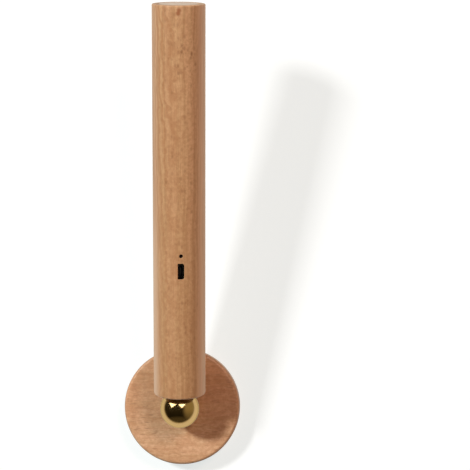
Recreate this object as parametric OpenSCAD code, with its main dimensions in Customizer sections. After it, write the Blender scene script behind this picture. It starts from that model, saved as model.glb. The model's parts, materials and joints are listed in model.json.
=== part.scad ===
// Wooden night light: a round beech rod with a rechargeable light strip in its back.
// A magnet in the rod's lower end holds it on a gold ball, which sits on a round beech wall plate.
// Frame: origin at the centre of the face on the wall, -Y points out of the wall, +Z up, millimetres.

/* [Wall plate] */
// Diameter of the round wall plate
disc_d = 75; // [70:0.5:100]
// Thickness of the wall plate
disc_t = 12; // [10:0.5:20]
// Rounding of the wall plate's edges
disc_edge = 2; // [0.4:0.1:2.5]
// Diameter of the adhesive pad behind the plate
pad_d = 66; // [45:1:69]
// Thickness of the adhesive pad
pad_t = 1; // [0.5:0.1:3]
// Diameter of the magnet that holds the ball on the plate
base_magnet_d = 9.6; // [8:0.1:10.5]
// Diameter of the steel keeper plate behind that magnet
keeper_d = 28; // [27:0.5:40]
// Thickness of the keeper plate
keeper_t = 2; // [1.6:0.1:3]
// Diameter of the circle that the keeper's screws lie on
keeper_circle = 20; // [19:0.5:20.5]
// Number of keeper screws
keeper_count = 3; // [3:1:4]

/* [Ball] */
// Diameter of the ball
ball_d = 25; // [24:0.5:30]
// Gap from the plate's front face to the ball
ball_stand = 2.5; // [2.4:0.1:5]
// How far the ball goes into the rod's lower end
ball_entry = 1.9; // [1.5:0.1:2.4]
// Outer diameter of the ring that the ball sits in
seat_d = 16; // [15.5:0.5:20]
// How deep the ring is let into the plate
seat_depth = 3; // [2:0.5:5]

/* [Rod] */
// Diameter of the rod
rod_d = 33; // [32.5:0.5:40]
// Length of the rod
rod_len = 248; // [230:1:320]
// Rounding of the rod's lower edge
rod_edge_low = 1.2; // [0.4:0.1:2]
// Rounding of the rod's upper edge
rod_edge_top = 0.8; // [0.4:0.1:2]
// Angle that the rod leans out from the wall
rod_lean = 13; // [10:0.5:90]
// Turn of the rod about its own axis
rod_turn = 9; // [-180:1:180]

/* [Rod magnet] */
// Diameter of the ring magnet in the rod's lower end
rod_magnet_d = 20; // [16:0.5:24]
// Thickness of that magnet
rod_magnet_t = 6; // [4:0.5:8]
// Diameter of its countersink at the face
countersink_d = 9; // [8.6:0.1:10]
// Diameter of the screw through it
magnet_screw_d = 4; // [3:0.5:4]
// Length of that screw's shank
magnet_screw_len = 13; // [11:0.5:14]
// Length of the threaded insert in the wood
insert_len = 10; // [8:0.5:12]
// Outer diameter of the threaded insert
insert_d = 6.5; // [6:0.1:8]

/* [Light strip] */
// Width of the channel in the rod's back
channel_w = 20; // [19.6:0.1:22]
// Distance from the rod's axis to the channel's floor
channel_floor = 8; // [7.6:0.1:8.6]
// Wood left below the channel
channel_low = 18; // [12:0.5:30]
// Wood left above the channel
channel_top = 14; // [10:0.5:30]
// Thickness of the aluminium tray under the light strip
tray_t = 1.2; // [0.8:0.1:1.5]
// Width of the light strip's circuit board
led_board_w = 12; // [10:0.5:13]
// Thickness of that board
led_board_t = 1; // [0.6:0.1:1.2]
// Distance between light chips
led_pitch = 8; // [7.5:0.5:12]
// Wall thickness of the light cover
cover_wall = 2; // [1.2:0.1:2.4]
// Thickness of the light cover's legs
cover_leg = 1.2; // [0.8:0.1:1.6]

/* [Battery] */
// Diameter of the battery cell with its sleeve
cell_d = 18.4; // [17.5:0.1:18.6]
// Length of the battery cell
cell_len = 65; // [45:1:70]
// Thickness of the battery's sleeve
sleeve_t = 0.3; // [0.2:0.05:0.5]
// Thickness of the foam tape on the battery
tape_t = 0.4; // [0.3:0.1:1]

/* [Control board and charging port] */
// Height of the charging port above the rod's lower end
port_z = 83.4; // [60:0.1:100]
// Length of the port's slot in the wood, along the rod
port_len = 10; // [9:0.1:12]
// Width of the port's slot
port_w = 4; // [3.6:0.1:5]
// Distance from the port up to the charge light's hole
light_up = 9.8; // [8.5:0.1:12]
// Diameter of the charge light's hole
light_d = 2.4; // [1.5:0.1:2.8]
// Length of the control board
board_len = 32; // [30:1:40]
// Thickness of the control board
board_t = 1.2; // [0.8:0.1:1.6]
// Width of the pocket for the control board
board_pocket_w = 8; // [7:0.1:8.4]
// Wood left between that pocket and the rod's front
front_wall = 2.8; // [2.4:0.1:3.4]
// Length of the charging socket's mouth
socket_len = 7.5; // [7:0.1:8]
// Width of the charging socket's mouth
socket_w = 2.5; // [2.4:0.1:2.8]
// Depth of the charging socket
socket_depth = 5.5; // [5:0.1:6.5]
// How far the socket's mouth lies under the rod's surface
socket_recess = 1.5; // [1:0.1:2.2]

/* [Touch switch] */
// Diameter of the touch cap in the rod's upper end
cap_d = 24.4; // [24:0.1:26]
// Thickness of the touch cap
cap_t = 2.5; // [1.5:0.1:4]
// Thickness of the copper electrode under it
electrode_t = 0.3; // [0.2:0.05:0.5]

/* [Clearances] */
// Radial clearance of pieces that turn in each other
running = 0.05; // [0.03:0.01:0.1]
// Clearance of pieces that are glued or dropped in
loose = 0.15; // [0.1:0.05:0.2]
// Gap between the ball and what holds it
ball_gap = 0.2; // [0.15:0.05:0.3]

/* [Hidden] */
$fn = 64;
over = 1;                 // how far a cut runs past the solid
arc_steps = 5;            // straight steps in a rounded edge
beech = [0.76, 0.57, 0.40];
beech_pale = [0.84, 0.77, 0.67];
gold = [0.83, 0.66, 0.33];
nickel = [0.75, 0.75, 0.77];

// Wall plate, measured out from the wall
face_z = pad_t + disc_t;
ball_r = ball_d / 2;
ball_z = face_z + ball_stand + ball_r;
seat_rise = ball_stand + 1.5;
keeper_screw_d = 2.6;
keeper_screw_len = 7;
keeper_head_d = 4.8;

// Rod, measured up from its lower end, with its back at +Y
rod_r = rod_d / 2;
end_offset = ball_r - ball_entry;
magnet_z = sqrt(pow(ball_r + ball_gap, 2) - pow(countersink_d / 2, 2)) - end_offset;
magnet_bore_z = magnet_z + rod_magnet_t + running;
screw_sink = 1.1;

channel_end = rod_len - channel_top;
channel_len = channel_end - channel_low;
tray_y = channel_floor + tray_t;
led_face_y = tray_y + led_board_t;
led_size = [3.5, 0.8, 2.8];
led_end = 7;
led_count = floor((channel_len - 2 * led_end) / led_pitch) + 1;
led_low = channel_low + (channel_len - (led_count - 1) * led_pitch) / 2;
tray_screw_d = 2;
tray_screw_len = 7;
tray_head_d = 3.6;
tray_head_h = 1.2;

front_y = -(rod_r - front_wall);
board_x = socket_w / 2;
board_back_y = channel_floor - 2;
board_low = port_z - board_len / 2;
board_high = port_z + board_len / 2;
clip_t = 4;
clip_grip = 2;
clip_back_y = 1;
pocket_low = board_low - clip_t;
pocket_high = board_high + clip_t;
mouth_y = -(rod_r - socket_recess);

cell_r = cell_d / 2;
cell_y = channel_floor - tape_t - cell_r;
pocket_r = cell_r + loose;
cell_room = 3;
rib = 4;
cell_pocket_low = pocket_high + rib;
cell_low = cell_pocket_low + cell_room;
cell_high = cell_low + cell_len;
cell_pocket_high = cell_high + cell_room;
wire_slot_y = 3;
wire_slot_w = 11;
tab_t = 0.2;
tab_w = 5;

lead_d = 1.2;
led_lead_d = 1;
lead_x = board_x - led_lead_d / 2 - 0.1;
lead_gap = 1.6;
lead_hole_d = 4;
lead_clear = 0.15;
corner_x = 6.6;
corner_y = channel_floor - 1.5;
wire_hole_d = 2;

cap_floor_z = rod_len - cap_t - electrode_t;
electrode_d = cap_d - 1.4;

// The gaps between light chips that hold a tray screw: one low, one above the battery, one high
function gap_z(i) = led_low + (i + 0.5) * led_pitch;
function gap_over(z) = ceil((z - led_low) / led_pitch - 0.5);
lead_z = gap_z(gap_over(port_z - led_pitch));
tray_screw_z = [gap_z(0), gap_z(gap_over(cell_pocket_high + 3)), gap_z(led_count - 2)];
chip_z = [for (i = [0 : led_count - 1]) led_low + i * led_pitch];

// Places a piece of the wall plate: its own +Z then points out of the wall
module on_wall() {
    rotate([90, 0, 0]) children();
}

// Places a piece of the rod: its own +Z then runs up the leaning rod
module in_rod() {
    translate([0, -ball_z, 0])
        rotate([rod_lean, 0, 0])
            translate([0, 0, end_offset])
                rotate([0, 0, rod_turn])
                    children();
}

function arc(centre, r, from, to) =
    [for (i = [0 : arc_steps])
        let (a = from + (to - from) * i / arc_steps)
            centre + r * [cos(a), sin(a)]];

// A round bar along +Z with its two edges rounded
module round_bar(d, h, edge_low, edge_top) {
    rotate_extrude()
        polygon(concat([[0, 0]],
                       arc([d / 2 - edge_low, edge_low], edge_low, -90, 0),
                       arc([d / 2 - edge_top, h - edge_top], edge_top, 0, 90),
                       [[0, h]]));
}

// The charging socket's outline: square corners on its wide side, at -X, round ones at +X
module socket_outline(w, h, wide_r, narrow_r) {
    polygon(concat(arc([w / 2 - narrow_r, h / 2 - narrow_r], narrow_r, 0, 90),
                   arc([-w / 2 + wide_r, h / 2 - wide_r], wide_r, 90, 180),
                   arc([-w / 2 + wide_r, -h / 2 + wide_r], wide_r, 180, 270),
                   arc([w / 2 - narrow_r, -h / 2 + narrow_r], narrow_r, 270, 360)));
}

// Extrudes an outline drawn in X and Z, from y = low to y = high
module along_y(low, high) {
    translate([0, high, 0])
        rotate([90, 0, 0])
            linear_extrude(high - low)
                children();
}

// A box given by its lowest and highest corners
module span(low, high) {
    translate(low) cube(high - low);
}

// A countersunk screw along +Z, with its head's face at z = 0 and a hexagon socket
module flat_screw(head_d, shank_d, length) {
    head_h = (head_d - shank_d) / 2;
    key_d = shank_d * 0.7;
    difference() {
        union() {
            cylinder(d1 = head_d, d2 = shank_d, h = head_h);
            cylinder(d = shank_d, h = length);
            translate([0, 0, length]) cylinder(d1 = shank_d, d2 = shank_d / 4, h = shank_d / 2);
        }
        translate([0, 0, -over]) cylinder(d = key_d, h = over + head_h, $fn = 6);
    }
}

// Wires: a smooth line through a few points, swept by an eight-sided ring
wire_sides = 8;
wire_steps = 4;
function unit(v) = v / norm(v);
function curve_point(a, b, c, d, t) =
    0.5 * (2 * b + (c - a) * t + (2 * a - 5 * b + 4 * c - d) * t * t
           + (3 * b - a - 3 * c + d) * t * t * t);
function smooth_line(p) =
    let (last = len(p) - 1)
        concat([for (i = [0 : last - 1])
                   for (k = [0 : wire_steps - 1])
                       curve_point(p[max(i - 1, 0)], p[i], p[i + 1], p[min(i + 2, last)],
                                   k / wire_steps)],
               [p[last]]);

// The ends are square to the first and last stretch; side is a direction the wire never runs along
module wire(points, d, side) {
    line = smooth_line(points);
    last = len(line) - 1;
    n = wire_sides;
    rings = [for (i = [0 : last])
        let (t = i == 0 ? unit(points[1] - points[0])
                 : i == last ? unit(points[len(points) - 1] - points[len(points) - 2])
                 : unit(line[i + 1] - line[i - 1]),
             u = unit(cross(t, side)),
             v = cross(t, u))
            for (k = [0 : n - 1])
                line[i] + d / 2 * (u * cos(360 * k / n) + v * sin(360 * k / n))];
    sides = [for (i = [0 : last - 1])
        for (k = [0 : n - 1])
            let (a = i * n + k, b = i * n + (k + 1) % n)
                each [[a, a + n, b + n], [a, b + n, b]]];
    low_end = [for (k = [0 : n - 1]) k];
    high_end = [for (k = [n - 1 : -1 : 0]) last * n + k];
    polyhedron(rings, concat([low_end], sides, [high_end]));
}

// Wall plate

module keeper_places() {
    for (i = [0 : keeper_count - 1])
        rotate([0, 0, 90 + 360 * i / keeper_count])
            translate([keeper_circle / 2, 0, pad_t])
                children();
}

module base_disc() {
    color(beech)
        on_wall()
            difference() {
                translate([0, 0, pad_t]) round_bar(disc_d, disc_t, disc_edge, disc_edge);
                translate([0, 0, face_z - seat_depth])
                    cylinder(d = seat_d + 2 * running, h = seat_depth + over);
                translate([0, 0, pad_t - over])
                    cylinder(d = base_magnet_d + 2 * loose, h = disc_t + 2 * over);
                translate([0, 0, pad_t - over])
                    cylinder(d = keeper_d + 2 * loose, h = keeper_t + over);
                keeper_places()
                    cylinder(d = keeper_screw_d + 2 * running,
                             h = keeper_screw_len + keeper_screw_d / 2 + running);
            }
}

module adhesive_pad() {
    color("dimgray")
        on_wall()
            cylinder(d = pad_d, h = pad_t);
}

module base_magnet() {
    color(nickel)
        on_wall()
            translate([0, 0, pad_t + keeper_t])
                cylinder(d = base_magnet_d, h = disc_t - keeper_t + ball_stand - ball_gap);
}

module keeper_plate() {
    color("silver")
        on_wall()
            difference() {
                translate([0, 0, pad_t]) cylinder(d = keeper_d, h = keeper_t);
                keeper_places()
                    cylinder(d1 = keeper_head_d + 2 * running, d2 = keeper_screw_d + 2 * running,
                             h = (keeper_head_d - keeper_screw_d) / 2);
                keeper_places()
                    cylinder(d = keeper_screw_d + 2 * running, h = keeper_t + over);
            }
}

module keeper_screws() {
    color("gainsboro")
        on_wall()
            keeper_places()
                flat_screw(keeper_head_d, keeper_screw_d, keeper_screw_len);
}

// Ball

module ball_seat() {
    color("goldenrod")
        on_wall()
            difference() {
                translate([0, 0, face_z - seat_depth])
                    cylinder(d = seat_d, h = seat_depth + seat_rise);
                translate([0, 0, face_z - seat_depth - over])
                    cylinder(d = base_magnet_d + 2 * running, h = seat_depth + seat_rise + 2 * over);
                translate([0, 0, ball_z]) sphere(r = ball_r + ball_gap);
            }
}

module ball() {
    color(gold)
        on_wall()
            translate([0, 0, ball_z])
                sphere(d = ball_d);
}

// Magnet in the rod's lower end

module rod_magnet() {
    color(nickel)
        in_rod()
            translate([0, 0, magnet_z])
                difference() {
                    cylinder(d = rod_magnet_d, h = rod_magnet_t);
                    translate([0, 0, -over])
                        cylinder(d = magnet_screw_d + 2 * running, h = rod_magnet_t + 2 * over);
                    cylinder(d1 = countersink_d, d2 = magnet_screw_d,
                             h = (countersink_d - magnet_screw_d) / 2);
                }
}

module magnet_screw() {
    color("silver")
        in_rod()
            translate([0, 0, magnet_z + screw_sink])
                flat_screw(countersink_d - 2 * screw_sink - 2 * running, magnet_screw_d,
                           magnet_screw_len);
}

module insert_nut() {
    groove = 0.4;
    grooves = 3;
    color("darkgoldenrod")
        in_rod()
            translate([0, 0, magnet_bore_z])
                difference() {
                    cylinder(d = insert_d, h = insert_len);
                    translate([0, 0, -over])
                        cylinder(d = magnet_screw_d + 2 * running, h = insert_len + 2 * over);
                    for (i = [1 : grooves])
                        translate([0, 0, i * insert_len / (grooves + 1)])
                            rotate_extrude()
                                translate([insert_d / 2, 0])
                                    circle(r = groove);
                }
}

// Rod

module light_channel() {
    span([-channel_w / 2, channel_floor, channel_low],
         [channel_w / 2, rod_d, channel_end]);
}

module battery_pocket() {
    translate([0, cell_y, cell_pocket_low])
        cylinder(r = pocket_r, h = cell_pocket_high - cell_pocket_low);
    span([-pocket_r, cell_y, cell_pocket_low],
         [pocket_r, channel_floor + over, cell_pocket_high]);
}

module board_pocket() {
    span([-board_pocket_w / 2, front_y, pocket_low],
         [board_pocket_w / 2, channel_floor + over, pocket_high]);
    span([-wire_slot_w / 2, wire_slot_y, pocket_high - over],
         [wire_slot_w / 2, channel_floor + over, cell_pocket_low + over]);
}

module port_cut() {
    translate([0, 0, port_z])
        along_y(-rod_d, front_y + over)
            socket_outline(port_w, port_len, 0.5, 1.4);
    translate([0, front_y + over, port_z + light_up])
        rotate([90, 0, 0])
            cylinder(d = light_d, h = rod_d);
}

module magnet_bores() {
    translate([0, 0, -over])
        cylinder(d = rod_magnet_d + 2 * running, h = magnet_bore_z + over);
    cylinder(d = insert_d + 2 * running, h = magnet_bore_z + insert_len + running);
    cylinder(d = magnet_screw_d + 2 * running,
             h = magnet_z + screw_sink + magnet_screw_len + magnet_screw_d);
}

module touch_cuts() {
    translate([0, 0, cap_floor_z])
        cylinder(d = cap_d + 2 * loose, h = cap_t + electrode_t + over);
    translate([corner_x, corner_y, cell_pocket_high - over])
        cylinder(d = wire_hole_d, h = cap_floor_z - cell_pocket_high + 2 * over);
}

module tray_screw_places() {
    for (z = tray_screw_z)
        translate([0, led_face_y, z])
            rotate([90, 0, 0])
                children();
}

module rod_shell() {
    color(beech)
        in_rod()
            difference() {
                round_bar(rod_d, rod_len, rod_edge_low, rod_edge_top);
                light_channel();
                battery_pocket();
                board_pocket();
                port_cut();
                magnet_bores();
                touch_cuts();
                tray_screw_places()
                    cylinder(d = tray_screw_d + 2 * running,
                             h = tray_screw_len + tray_screw_d / 2 + running);
            }
}

// Light strip

module light_cover() {
    half = channel_w / 2 - loose;
    color("whitesmoke")
        in_rod()
            difference() {
                intersection() {
                    cylinder(r = rod_r, h = rod_len);
                    span([-half, tray_y, channel_low + loose], [half, rod_d, channel_end - loose]);
                }
                intersection() {
                    translate([0, 0, -over]) cylinder(r = rod_r - cover_wall, h = rod_len + 2 * over);
                    span([-half + cover_leg, 0, 0], [half - cover_leg, rod_d, rod_len]);
                }
            }
}

module strip_holes() {
    tray_screw_places()
        translate([0, 0, -over])
            cylinder(d = tray_screw_d + 2 * running, h = tray_t + led_board_t + 2 * over);
    translate([lead_x, led_face_y + over, lead_z])
        rotate([90, 0, 0])
            cylinder(d = lead_hole_d, h = tray_t + led_board_t + 2 * over);
}

module led_tray() {
    half = channel_w / 2 - loose;
    fence_t = 0.8;
    fence_h = led_board_t;
    color("lightgray")
        in_rod()
            difference() {
                union() {
                    span([-half, channel_floor, channel_low + loose],
                         [half, tray_y, channel_end - loose]);
                    for (side = [-1, 1])
                        translate([side * (led_board_w / 2 + loose + fence_t / 2), 0, 0])
                            span([-fence_t / 2, tray_y, channel_low + loose],
                                 [fence_t / 2, tray_y + fence_h, channel_end - loose]);
                }
                strip_holes();
            }
}

module led_board() {
    color("white")
        in_rod()
            difference() {
                span([-led_board_w / 2, tray_y, channel_low + 2 * loose],
                     [led_board_w / 2, led_face_y, channel_end - 2 * loose]);
                strip_holes();
            }
}

module led_chips() {
    dome = 0.5;
    color("khaki")
        in_rod()
            for (z = chip_z)
                translate([0, led_face_y, z])
                    difference() {
                        translate([-led_size[0] / 2, 0, -led_size[2] / 2]) cube(led_size);
                        translate([-led_size[0] / 2 + dome, led_size[1] - 0.1, -led_size[2] / 2 + dome])
                            cube([led_size[0] - 2 * dome, over, led_size[2] - 2 * dome]);
                    }
}

module led_resistors() {
    size = [1.2, 0.5, 2];
    color("dimgray")
        in_rod()
            for (i = [1 : 3 : led_count - 1])
                translate([led_board_w / 2 - 2.2, led_face_y, chip_z[i] - size[2] / 2])
                    cube(size);
}

module tray_screws() {
    color("silver")
        in_rod()
            tray_screw_places()
                difference() {
                    union() {
                        translate([0, 0, -tray_head_h]) cylinder(d = tray_head_d, h = tray_head_h);
                        translate([0, 0, -over / 2])
                            cylinder(d = tray_screw_d, h = tray_screw_len + over / 2);
                        translate([0, 0, tray_screw_len])
                            cylinder(d1 = tray_screw_d, d2 = tray_screw_d / 4, h = tray_screw_d / 2);
                    }
                    translate([0, 0, -tray_head_h - over])
                        cylinder(d = tray_screw_d * 0.7, h = over + 0.8, $fn = 6);
                }
}

// Control board, stood on edge behind the charging port

module control_board() {
    notch = 0.5;
    color("darkgreen")
        in_rod()
            span([board_x, front_y + notch, board_low],
                 [board_x + board_t, board_back_y, board_high]);
}

module board_clips() {
    half = board_pocket_w / 2 - loose;
    color("ivory")
        in_rod()
            for (end = [board_low, board_high])
                difference() {
                    let (out = end == board_low ? -1 : 1,
                         a = end + out * (clip_t - loose),
                         b = end - out * clip_grip)
                        span([-half, front_y, min(a, b)], [half, clip_back_y, max(a, b)]);
                    span([board_x - running, front_y - over, board_low - running],
                         [board_x + board_t + running, clip_back_y + over, board_high + running]);
                }
}

module socket_shell() {
    wall = 0.3;
    lip = 0.25;
    lip_depth = 0.6;
    color("silver")
        in_rod()
            translate([0, 0, port_z])
                difference() {
                    union() {
                        along_y(mouth_y, mouth_y + socket_depth)
                            socket_outline(socket_w, socket_len, 0.4, 0.9);
                        along_y(mouth_y, mouth_y + lip_depth)
                            socket_outline(socket_w + 2 * lip, socket_len + 2 * lip, 0.4, 0.9);
                    }
                    along_y(mouth_y - over, mouth_y + socket_depth - wall)
                        socket_outline(socket_w - 2 * wall, socket_len - 2 * wall, 0.2, 0.7);
                }
}

tongue_w = 0.7;
tongue_len = 4;
tongue_x = -0.3;
tongue_out = 1;

module socket_tongue() {
    wall = 0.3;
    root = 1.2;
    back = mouth_y + socket_depth - wall;
    color("black")
        in_rod()
            translate([0, 0, port_z])
                union() {
                    along_y(back - root, back)
                        socket_outline(socket_w - 2 * wall - 2 * running,
                                       socket_len - 2 * wall - 2 * running, 0.2, 0.7);
                    span([tongue_x - tongue_w / 2, mouth_y + tongue_out, -tongue_len / 2],
                         [tongue_x + tongue_w / 2, back - root + running, tongue_len / 2]);
                }
}

module socket_contacts() {
    count = 5;
    pitch = 0.65;
    size = [0.08, 2.4, 0.35];
    color("gold")
        in_rod()
            for (i = [0 : count - 1])
                translate([tongue_x + tongue_w / 2, mouth_y + tongue_out + 0.3,
                           port_z + (i - (count - 1) / 2) * pitch - size[2] / 2])
                    cube(size);
}

// Places a piece on the control board's face, which looks towards -X
module on_board(y, z) {
    translate([board_x, y, z])
        rotate([0, -90, 0])
            children();
}

module charge_light() {
    size = [2, 1.2, 0.8];
    color("lightgreen")
        in_rod()
            on_board(front_y + 1.2, port_z + light_up)
                translate([-size[0] / 2, 0, 0])
                    cube(size);
}

module light_pipe() {
    sunk = 1;
    length = front_wall - sunk + 0.4;
    color("gray", 0.7)
        in_rod()
            translate([0, -rod_r + sunk + length, port_z + light_up])
                rotate([90, 0, 0])
                    cylinder(d = light_d - 2 * running, h = length);
}

module charge_chip() {
    body = [4.9, 3.9, 1.5];
    pin = [0.4, 1, 0.2];
    pins = 4;
    pitch = 1.27;
    color("#2b2b2b")
        in_rod()
            on_board(-6, port_z - 9)
                union() {
                    translate([-body[0] / 2, -body[1] / 2, 0.05]) cube(body);
                    for (side = [-1, 1])
                        for (i = [0 : pins - 1])
                            translate([(i - (pins - 1) / 2) * pitch - pin[0] / 2,
                                       side * (body[1] + pin[1]) / 2 - pin[1] / 2, 0])
                                cube(pin);
                }
}

module touch_chip() {
    body = [2.9, 1.6, 1.1];
    pin = [0.4, 0.6, 0.2];
    pitch = 0.95;
    color("#2b2b2b")
        in_rod()
            on_board(-3, port_z + 8)
                union() {
                    translate([-body[0] / 2, -body[1] / 2, 0.05]) cube(body);
                    for (side = [-1, 1])
                        for (i = [-1 : 1])
                            translate([i * pitch - pin[0] / 2,
                                       side * (body[1] + pin[1]) / 2 - pin[1] / 2, 0])
                                cube(pin);
                }
}

module driver_coil() {
    d = 4;
    h = 2.2;
    foot = 4.4;
    foot_h = 0.5;
    color("#4a4a4a")
        in_rod()
            on_board(-2.5, port_z - 2)
                union() {
                    translate([-foot / 2, -foot / 2, 0]) cube([foot, foot, foot_h]);
                    cylinder(d = d * 0.8, h = h);
                    translate([0, 0, h - foot_h]) cylinder(d = d, h = foot_h);
                }
}

module board_capacitors() {
    size = [2, 1.25, 0.9];
    color("tan")
        in_rod()
            for (place = [[-9.5, 5.5], [-6.5, 4.5], [-6.5, 8], [1.5, -7], [1.5, -10.5]])
                on_board(place[0], port_z + place[1])
                    translate([-size[0] / 2, -size[1] / 2, 0])
                        cube(size);
}

// Battery

module at_cell() {
    in_rod()
        translate([0, cell_y, cell_low])
            children();
}

can_d = cell_d - 2 * sleeve_t;
can_button_d = 7;
can_button_h = 1;

module battery_cell() {
    groove = 0.6;
    groove_z = cell_len - can_button_h - 4;
    color("silver")
        at_cell()
            difference() {
                union() {
                    translate([0, 0, sleeve_t])
                        cylinder(d = can_d - 2 * running, h = cell_len - 2 * sleeve_t - can_button_h);
                    cylinder(d = can_button_d, h = cell_len);
                }
                translate([0, 0, groove_z])
                    rotate_extrude()
                        translate([can_d / 2, 0])
                            circle(r = groove);
            }
}

module battery_sleeve() {
    opening = can_d - 4;
    color("royalblue")
        at_cell()
            difference() {
                cylinder(d = cell_d, h = cell_len - can_button_h);
                translate([0, 0, sleeve_t])
                    cylinder(d = can_d, h = cell_len - 2 * sleeve_t - can_button_h);
                translate([0, 0, -over]) cylinder(d = opening, h = cell_len + 2 * over);
            }
}

module battery_ring() {
    ring_t = 0.3;
    color("white")
        at_cell()
            translate([0, 0, cell_len - can_button_h])
                difference() {
                    cylinder(d = can_d - 1, h = ring_t);
                    translate([0, 0, -over])
                        cylinder(d = can_button_d + 2 * running, h = ring_t + 2 * over);
                }
}

module battery_tabs() {
    reach = corner_y - cell_y - 2;
    color("lightgray")
        at_cell()
            for (z = [-tab_t, cell_len])
                span([-tab_w / 2, -tab_w / 2, z], [tab_w / 2, reach, z + tab_t]);
}

module battery_tape() {
    tape_w = 6;
    tape_end = 8;
    color("darkslategray")
        in_rod()
            span([-tape_w / 2, channel_floor - tape_t, cell_low + tape_end],
                 [tape_w / 2, channel_floor, cell_high - tape_end]);
}

// Wires, each through points from the pieces that it joins

tab_y = corner_y - 3;
pad_x = board_x - lead_d / 2 - lead_clear;

module battery_lead_red() {
    top = cell_high + tab_t;
    color("red")
        in_rod()
            wire([[-1, tab_y, top + running],
                  [-1, tab_y, top + 0.5],
                  [-1, tab_y, top + 0.9],
                  [-3, tab_y + 1.2, top + 1.6],
                  [-5.6, corner_y - 0.3, top + 0.4],
                  [-corner_x, corner_y, top - 5],
                  [-corner_x, corner_y, top - 12],
                  [-corner_x, corner_y, cell_low + 12],
                  [-corner_x, corner_y, cell_low + 5],
                  [-corner_x + 0.3, corner_y, cell_low + 1],
                  [-4.8, corner_y - 0.3, cell_low - 1.4],
                  [-3, corner_y - 0.8, cell_pocket_low - 2],
                  [-2.2, corner_y - 1.2, pocket_high - 1],
                  [-1.4, corner_y - 2.6, board_high - 3],
                  [pad_x, corner_y - 4, board_high - 8],
                  [pad_x, corner_y - 4, board_high - 10]],
                 lead_d, [1, 0.6, 0]);
}

module battery_lead_black() {
    low = cell_low - tab_t;
    color("#202020")
        in_rod()
            wire([[0, tab_y, low - running],
                  [0, tab_y, low - 0.5],
                  [0, tab_y, low - 0.9],
                  [0, corner_y - 1.9, cell_pocket_low - 1],
                  [0, corner_y - 1.6, pocket_high - 1],
                  [0.3, corner_y - 1.3, board_high - 2],
                  [pad_x, corner_y - 1.5, board_high - 5],
                  [pad_x, corner_y - 1.5, board_high - 7]],
                 lead_d, [1, 0, 0]);
}

module led_leads() {
    reach = 3.6;
    top_y = led_face_y + led_lead_d / 2 + lead_clear;
    color("crimson")
        in_rod()
            for (side = [-1, 1])
                let (z = lead_z + side * lead_gap / 2)
                    wire([[lead_x, board_back_y - 3, z],
                          [lead_x, board_back_y - 1, z],
                          [lead_x, tray_y - 0.6, z],
                          [lead_x + side * 0.2, led_face_y, z],
                          [lead_x + side * 1.4, top_y + 0.2, z],
                          [lead_x + side * reach, top_y, z]],
                         led_lead_d, [0, 0, 1]);
}

module touch_lead() {
    board_mid = board_x + board_t / 2;
    color("orange")
        in_rod()
            wire([[board_mid, corner_y - 1.4, board_high],
                  [board_mid, corner_y - 1.4, board_high + 2],
                  [board_mid + 0.8, corner_y - 1, cell_pocket_low - 2],
                  [4.6, corner_y - 0.3, cell_low - 1.4],
                  [corner_x - 0.3, corner_y, cell_low + 1],
                  [corner_x, corner_y, cell_low + 5],
                  [corner_x, corner_y, cell_low + 12],
                  [corner_x, corner_y, cell_high],
                  [corner_x, corner_y, cell_pocket_high + 10],
                  [corner_x, corner_y, cap_floor_z - 10],
                  [corner_x, corner_y, cap_floor_z]],
                 lead_d, [0, 1, 0]);
}

// Touch switch

module touch_electrode() {
    color("chocolate")
        in_rod()
            translate([0, 0, cap_floor_z])
                cylinder(d = electrode_d, h = electrode_t);
}

module touch_cap() {
    edge = 0.4;
    color(beech_pale)
        in_rod()
            translate([0, 0, rod_len - cap_t])
                round_bar(cap_d, cap_t, 0.1, edge);
}

base_disc();
adhesive_pad();
base_magnet();
keeper_plate();
keeper_screws();
ball_seat();
ball();
rod_magnet();
magnet_screw();
rod_shell();
insert_nut();
light_cover();
led_tray();
tray_screws();
led_board();
led_chips();
led_resistors();
control_board();
board_clips();
socket_shell();
socket_tongue();
socket_contacts();
charge_light();
light_pipe();
charge_chip();
touch_chip();
driver_coil();
board_capacitors();
battery_cell();
battery_sleeve();
battery_ring();
battery_tabs();
battery_tape();
battery_lead_red();
battery_lead_black();
led_leads();
touch_lead();
touch_electrode();
touch_cap();
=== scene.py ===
import json
import math

import bmesh
import bpy
from mathutils import Matrix, Vector


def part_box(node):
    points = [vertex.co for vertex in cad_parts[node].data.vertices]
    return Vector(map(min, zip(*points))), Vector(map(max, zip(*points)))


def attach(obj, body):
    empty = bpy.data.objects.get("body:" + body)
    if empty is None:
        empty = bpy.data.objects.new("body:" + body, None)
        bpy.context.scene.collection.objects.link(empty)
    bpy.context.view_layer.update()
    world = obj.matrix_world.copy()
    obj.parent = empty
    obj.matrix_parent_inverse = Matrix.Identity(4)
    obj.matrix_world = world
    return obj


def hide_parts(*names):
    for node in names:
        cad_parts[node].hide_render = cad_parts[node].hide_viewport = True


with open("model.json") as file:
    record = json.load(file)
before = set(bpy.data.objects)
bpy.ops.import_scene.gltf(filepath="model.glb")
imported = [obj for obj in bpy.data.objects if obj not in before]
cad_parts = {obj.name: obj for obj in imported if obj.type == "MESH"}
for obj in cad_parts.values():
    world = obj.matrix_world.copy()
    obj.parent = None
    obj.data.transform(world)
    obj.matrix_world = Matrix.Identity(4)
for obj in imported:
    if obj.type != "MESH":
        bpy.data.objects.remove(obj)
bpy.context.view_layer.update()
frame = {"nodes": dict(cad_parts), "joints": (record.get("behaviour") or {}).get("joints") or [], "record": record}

# Sizes, in metres, of the pieces that are modelled again here
MM = 0.001
EASED = 0.2 * MM              # rounding of small edges
RUNNING = 0.05 * MM           # room round pieces that fit closely
LOOSE = 0.15 * MM             # room round pieces that fit loosely
OVER = 1 * MM                 # how far a cut runs past the solid

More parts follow.
